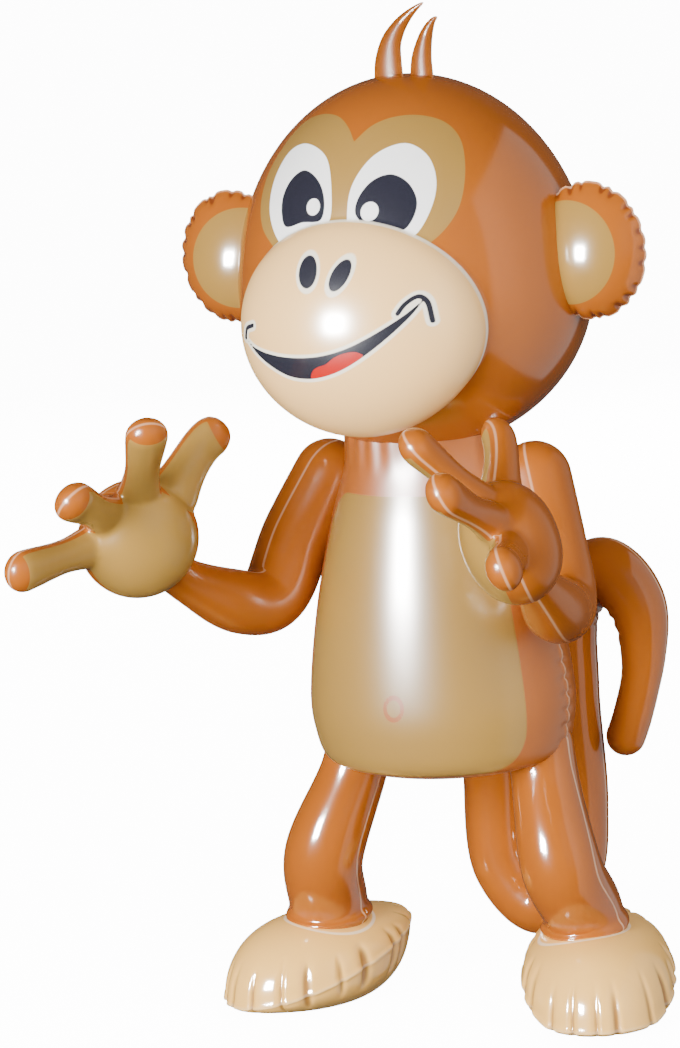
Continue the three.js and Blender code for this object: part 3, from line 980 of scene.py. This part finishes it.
def make_leg(name, shape):
    side = shape["side"]
    radius, top_radius = LEG_DIAMETER / 2, LEG_TOP_DIAMETER / 2
    ankle = shape["spread"] - ANKLE_INSET
    ankle_back = shape["back"] + ANKLE_BACK
    knee = TORSO_BASE - KNEE_SHARE * LEG_HEIGHT
    curve = spline(
        [
            (side * (HIP_SPREAD - 4), 6, TORSO_BASE + radius + 6),
            (side * HIP_SPREAD, 2, TORSO_BASE - 4),
            (side * ((HIP_SPREAD + ankle) / 2 + 6), -KNEE_FORWARD, knee),
            (side * ankle, ankle_back - 2, FOOT_HEIGHT + 8),
            (side * ankle, ankle_back, FOOT_HEIGHT - radius),
        ],
        300,
    )

    def radius_at(at):
        flare = ridge(at - ANKLE_FLARE_AT, ANKLE_FLARE, ANKLE_FLARE_SPREAD)
        return top_radius + (radius - top_radius) * smooth(at, *LEG_WIDENS) + flare

    points, faces = tube(curve, radius_at, vec(1, 0, 0), even_grid(96, 200), 0.2)
    axis_y = np.interp(points[:, 2], curve[::-1, 2], curve[::-1, 1])
    prints = {"seam": points[:, 1] - axis_y + LEG_SEAM_FORWARD}
    mesh = new_mesh(f"dressed_{name}_leg", points, faces)
    add_piece(f"dressed_{name}_leg", mesh, [f"{name}_leg"], limb_film, prints)


# Ears

def make_ear(name, side, seed):
    middle_x = side * (HEAD_WIDTH / 2 + EAR_STANDOFF)
    middle_y = -EAR_FORWARD
    middle_z = HEAD_LEVEL + EAR_RISE

    def surface(angle, share):
        facing = np.cos(math.pi * share)
        pinch = EAR_FOLD_DEPTH * edge_folds(angle, share, seed, **EAR_FOLDS)
        plump = np.sin(math.pi * share) ** EAR_FULLNESS
        weld = ridge(facing * EAR_THICKNESS / 2, *EAR_WELD)
        droop = np.where(facing > 0, EAR_DROOP * plump * np.sin(angle), 0)
        swell = (1 - EAR_FOLD_SINK * pinch) * (1 - droop)
        dome = np.sign(facing) * np.abs(facing) ** EAR_DOME
        return np.stack(
            [
                (EAR_WIDTH / 2 - pinch + weld) * plump * np.cos(angle) + middle_x,
                -EAR_THICKNESS / 2 * dome * swell + middle_y,
                (EAR_HEIGHT / 2 - pinch + weld) * plump * np.sin(angle) + middle_z,
            ],
            axis=1,
        )

    grid = even_grid(240, 90)
    points, faces = ring_grid(surface, *grid)
    angle, share = grid_stops(*grid)
    x, y, z = points.T
    patch = oval_distance(x, z, (side * EAR_PRINT_ACROSS, middle_z), EAR_PRINT_HALF)
    prints = {
        "patch": patch + np.where(y < middle_y, 0, NO_PRINT),
        # Painted shade in the ear's creases
        "painted_crease_shade": (EAR_FOLD_SHADE - edge_folds(angle, share, seed, **EAR_FOLDS)) * FOLD_SHADE_SCALE,
        "seam": y - middle_y,
    }
    mesh = new_mesh(f"dressed_{name}_ear", points, faces)
    add_piece(f"dressed_{name}_ear", mesh, [f"{name}_ear"], ear_film, prints)


# Arms

def limb_radius(at):
    upper, lower, narrow = UPPER_ARM_DIAMETER / 2, ELBOW_DIAMETER / 2, WRIST_DIAMETER / 2
    return upper + (lower - upper) * smooth(at, 0.35, 0.55) + (narrow - lower) * smooth(at, 0.55, 0.82)


def finger_radius(at):
    flare = (FINGERTIP_WIDTH - FINGER_DIAMETER) / 2 * smooth(at, 0.35, 0.9)
    return FINGER_DIAMETER / 2 + flare + ridge(at, FINGER_ROOT_SWELL, 0.34)


def thumb_radius(at):
    return finger_radius(at) + THUMB_SWELL * np.exp(-((at / 0.62) ** 4))


def digit_line(hand, facing, reach, curl):
    """The middle line of a finger or thumb, from inside the palm's rim to its tip."""
    sideways = unit(reach - facing * (reach @ facing))
    root = hand + sideways * HAND_WIDTH * DIGIT_ROOT
    middle = hand + reach * DIGIT_MIDDLE + sideways * DIGIT_BOW + curl
    return spline([root, middle, hand + reach], 60)


def arm_frame(pose):
    """The arm's places, the ways that its palm and its bend face, its limb line and its digits."""
    side = pose["side"]
    reach = BODY_WIDTH / 2 * outline_at(0.8)[0] + UPPER_ARM_DIAMETER / 2 - ARMPIT_OVERLAP
    shoulder = vec(side * reach, SHOULDER_BACK, SHOULDER_LEVEL)
    elbow = shoulder + run(pose["upper_arm"], side)
    wrist = elbow + run(pose["forearm"], side)
    hand = wrist + run(pose["to_hand"], side)
    facing = unit(run(pose["palm"], side))
    above_elbow = shoulder + (elbow - shoulder) * 0.45 + vec(side * pose["upper_arm_bow"], 0, 0)
    top = shoulder + vec(-side * 2, 2, UPPER_ARM_DIAMETER / 2)
    digits = [
        (digit_line(hand, facing, run(finger, side), run(NO_CURL, side)), finger_radius)
        for finger in pose["fingers"]
    ]
    thumb = digit_line(hand, facing, run(pose["thumb"], side), run(THUMB_CURL, side))
    digits.append((thumb, thumb_radius))
    return SimpleNamespace(
        wrist=wrist,
        hand=hand,
        facing=facing,
        bend_facing=unit(np.cross(elbow - shoulder, wrist - elbow)),
        limb=spline([top, above_elbow, elbow, wrist, hand], 400),
        digits=digits,
    )


def palm_skin(arm):
    """The hand as a round cushion that faces the palm's way."""
    second = unit(vec(0, 0, 1) - arm.facing * arm.facing[2])
    first = np.cross(second, arm.facing)

    def surface(angle, share):
        reach = HAND_WIDTH / 2 * np.sin(math.pi * share) ** HAND_FULLNESS
        return (
            arm.hand
            + arm.facing * (HAND_THICKNESS / 2 * np.cos(math.pi * share))[:, None]
            + first * (reach * np.cos(angle))[:, None]
            + second * (reach * np.sin(angle))[:, None]
        )

    return ring_grid(surface, *even_grid(72, 40))


def axis_stops(arm):
    """Stops along digits and limb: line, stop, thickness, way it faces, rim, and if it has a tip."""
    for line, radius_at in arm.digits:
        for stop in range(FIRST_DIGIT_STOP, len(line)):
            yield line, stop, radius_at(stop / (len(line) - 1)), arm.facing, DIGIT_RIM, True
    limb = arm.limb[: int(len(arm.limb) * LAST_LIMB_SHARE)]
    for stop in range(0, len(limb), LIMB_STOP_STEP):
        yield limb, stop, ELBOW_DIAMETER / 2, arm.bend_facing, LIMB_RIM, False


def arm_prints(co, arm):
    """Palm print, and the pale weld line that is partly painted highlight, from how far each point lies to
    the palm's side of its nearest axis.
    """
    nearest = np.linalg.norm(co - arm.hand, axis=1) / (HAND_WIDTH / 2)
    lift = (co - arm.hand) @ arm.facing
    rim = np.full(len(co), HAND_RIM * HAND_THICKNESS / 2)
    tip_gap = np.full(len(co), float(NO_PRINT))
    for line, stop, thick, way, edge, tipped in axis_stops(arm):
        away = co - line[stop]
        near = np.linalg.norm(away, axis=1) / thick
        closer = near < nearest
        nearest = np.where(closer, near, nearest)
        ahead = unit(line[min(stop + 3, len(line) - 1)] - line[max(stop - 3, 0)])
        lift = np.where(closer, away @ unit(way - ahead * (way @ ahead)), lift)
        rim = np.where(closer, edge * thick, rim)
        left = np.linalg.norm(line[-1] - line[stop]) - away @ unit(line[-1] - line[-8])
        tip_gap = np.where(closer, left if tipped else NO_PRINT, tip_gap)
    start = arm.wrist + (arm.hand - arm.wrist) * PALM_START
    beyond = (co - start) @ unit(arm.hand - arm.wrist)
    palm = np.maximum(rim - lift, FINGERTIP_RIM - tip_gap)
    return {"palm": np.maximum(palm, -beyond), "seam": lift}


def make_arm(name, pose):
    arm = arm_frame(pose)
    parts = [tube(arm.limb, limb_radius, vec(1, 0, 0), even_grid(48, 90), 0.16), palm_skin(arm)]
    for line, radius_at in arm.digits:
        parts.append(tube(line, radius_at, arm.facing, even_grid(32, 40), 0.3, FINGER_FLATNESS))
    mesh = welded(f"dressed_{name}_arm", parts, **ARM_SKIN)
    prints = arm_prints(places(mesh), arm)
    add_piece(f"dressed_{name}_arm", mesh, [f"{name}_arm"], arm_film, prints)


# Tail

def tail_radius(at):
    radius, tip_radius = TAIL_DIAMETER / 2, TAIL_TIP_DIAMETER / 2
    return radius + (tip_radius - radius) * smooth(at, 0.78, 0.92)


def tail_pucker(at, angle):
    """Depth of the short puckers on the inner side of the hook and of the turn at the bottom."""
    wave = 0.5 + 0.5 * np.cos(at * 2 * math.pi * TAIL_PUCKERS)
    off_turn = np.minimum(angle, 2 * math.pi - angle)
    hook_side = ridge(angle - math.pi, 1, TAIL_PUCKER_SPREAD) * between(at, *TAIL_HOOK_PUCKERS)
    turn_side = ridge(off_turn, 1, TAIL_PUCKER_SPREAD) * between(at, *TAIL_TURN_PUCKERS)
    return TAIL_PUCKER_DEPTH * wave * np.maximum(hook_side, turn_side)


def make_tail():
    root, behind, rising, hook = TORSO_BASE + 25, TAIL_BEHIND, TAIL_REACH / 2, TAIL_HOOK_LEVEL
    curve = spline(
        [
            (-2, BODY_DEPTH / 2 - 24, root),
            (-5, BODY_DEPTH / 2 + 2, root - 16),
            (-6, behind, root - 48),
            (-3, behind, TAIL_TURN_LEVEL + 23),
            (rising * 0.41, behind, TAIL_TURN_LEVEL),
            (rising * 0.87, behind, TAIL_TURN_LEVEL + 23),
            (rising, behind, TAIL_TURN_LEVEL + 65),
            (rising * 0.97, behind, (TAIL_TURN_LEVEL + 65 + hook) / 2),
            (rising + 3, behind, hook - 22),
            (rising + 25, behind, hook + 1),
            (TAIL_REACH - 3, behind, hook - 19),
            (TAIL_REACH, behind, hook - 53),
            (TAIL_REACH - 9, behind, hook - 89),
            (TAIL_REACH - 19, behind, hook - 113),
        ],
        800,
    )
    points, faces = tube(curve, tail_radius, vec(0, 1, 0), even_grid(64, 560), 0.05, pucker=tail_pucker)
    prints = {"seam": points[:, 1] - TAIL_BEHIND}
    mesh = new_mesh("dressed_tail", points, faces)
    add_piece("dressed_tail", mesh, ["tail"], limb_film, prints)


# Hair

def curl(path):
    """A flat curl of double film along a path, thinner where it is narrow."""
    line = spline(path, 120)
    columns = np.hstack([line, headings(line[:, :2])]).T
    stops = np.linspace(0, 1, len(line))

    def surface(angle, share):
        x, up, half, hx, hz = (np.interp(share, stops, column) for column in columns)
        closing = np.sqrt(np.clip(np.minimum(share, 1 - share) / 0.03, 0, 1))
        wide = half * closing * np.cos(angle)
        thick = HAIR_HALF_THICKNESS * np.minimum(1, half / 4) * closing * np.sin(angle)
        return np.stack([x + hz * wide, thick, HEAD_LEVEL + CROWN_HEIGHT + up - hx * wide], axis=1)

    return ring_grid(surface, *even_grid(40, 90))


def make_hair():
    mesh = welded("dressed_hair", [curl(BIG_CURL), curl(SMALL_CURL)], **HAIR_SKIN)
    prints = {"rim": places(mesh)[:, 1]}
    add_piece("dressed_hair", mesh, ["hair_tuft"], hair_film, prints)


# Studio

def aim(holder, place, target, roll=0.0):
    holder.location = place
    heading = (Vector(target) - Vector(place)).to_track_quat("-Z", "Y")
    holder.rotation_mode = "QUATERNION"
    holder.rotation_quaternion = heading @ Quaternion((0, 0, 1), roll)


def direction(azimuth, elevation):
    """The way from the figure to a place round it, azimuth 0 in front and positive to its left."""
    level = math.cos(elevation)
    return Vector((math.sin(azimuth) * level, -math.cos(azimuth) * level, math.sin(elevation)))


def make_camera():
    data = bpy.data.cameras.new("camera")
    data.lens = CAMERA_LENS
    data.sensor_width = CAMERA_SENSOR
    data.clip_end = CAMERA_CLIP
    camera = bpy.data.objects.new("camera", data)
    bpy.context.scene.collection.objects.link(camera)
    right = Vector((math.cos(CAMERA_AZIMUTH), math.sin(CAMERA_AZIMUTH), 0))
    target = SHIFT - right * AIM_LEFT + Vector((0, 0, AIM_LEVEL))
    place = target + direction(CAMERA_AZIMUTH, CAMERA_ELEVATION) * CAMERA_DISTANCE
    aim(camera, place, target, CAMERA_ROLL)
    bpy.context.scene.camera = camera


def make_lamp(name, azimuth, elevation, distance, size, energy, lights=True, mirrors=True):
    """An area lamp that lights the figure, is mirrored in it, or both. Angles are in degrees."""
    data = bpy.data.lights.new(name, "AREA")
    data.shape = "RECTANGLE"
    data.size, data.size_y = size
    data.energy = energy
    lamp = bpy.data.objects.new(name, data)
    bpy.context.scene.collection.objects.link(lamp)
    lamp.visible_diffuse = lights
    lamp.visible_glossy = mirrors
    target = SHIFT + Vector((0, 0, LAMP_AIM_LEVEL))
    spot = target + direction(math.radians(azimuth), math.radians(elevation)) * distance
    aim(lamp, spot, target)


def make_backdrop(thing, strength):
    """A stage surface that glows pale to the camera but neither lights nor mirrors in the figure."""
    paper = bpy.data.materials.new(thing.name + "_paper")
    paper.use_nodes = True
    shader = paper.node_tree.nodes["Principled BSDF"]
    shader.inputs["Base Color"].default_value = (0.9, 0.9, 0.9, 1)
    shader.inputs["Roughness"].default_value = 0.9
    shader.inputs["Emission Color"].default_value = (1, 1, 1, 1)
    shader.inputs["Emission Strength"].default_value = strength
    thing.data.materials.append(paper)
    thing.visible_diffuse = False
    thing.visible_glossy = False


def make_room():
    bpy.ops.mesh.primitive_plane_add(size=FLOOR_SIZE, location=(0, 0, 0))
    floor = bpy.context.object
    floor.name = "floor"
    make_backdrop(floor, FLOOR_GLOW)
    bpy.ops.mesh.primitive_uv_sphere_add(radius=BACKDROP_RADIUS, segments=48, ring_count=24)
    sweep = bpy.context.object
    sweep.name = "backdrop"
    sweep.visible_shadow = False
    make_backdrop(sweep, BACKDROP_GLOW)
    world = bpy.data.worlds.new("studio")
    bpy.context.scene.world = world
    world.use_nodes = True
    background = world.node_tree.nodes["Background"]
    background.inputs["Color"].default_value = (1, 0.98, 0.96, 1)
    background.inputs["Strength"].default_value = AMBIENT


make_head()
make_body()
for name, stance, foot_seed, ear_seed in (("left", LEFT_FOOT, 3, 23), ("right", RIGHT_FOOT, 8, 28)):
    make_foot(name, stance, foot_seed)
    make_leg(name, stance)
    make_ear(name, stance["side"], ear_seed)
make_arm("left", LEFT_ARM)
make_arm("right", RIGHT_ARM)
make_tail()
make_hair()
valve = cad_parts["air_valve"]
valve.data.materials.clear()
valve.data.materials.append(valve_plastic)

make_camera()
make_room()
make_lamp("key", -12, 8, 2.2, (1.3, 1.3), 142, mirrors=False)
make_lamp("fill", 62, 18, 2.5, (2.0, 2.0), 74, mirrors=False)
make_lamp("back", 196, 22, 2.4, (1.6, 1.6), 66, mirrors=False)
make_lamp("window", -16, 13, 2.0, (0.46, 0.46), 400, lights=False)
make_lamp("panel", 112, 0, 2.2, (4.6, 5.0), 56, lights=False)
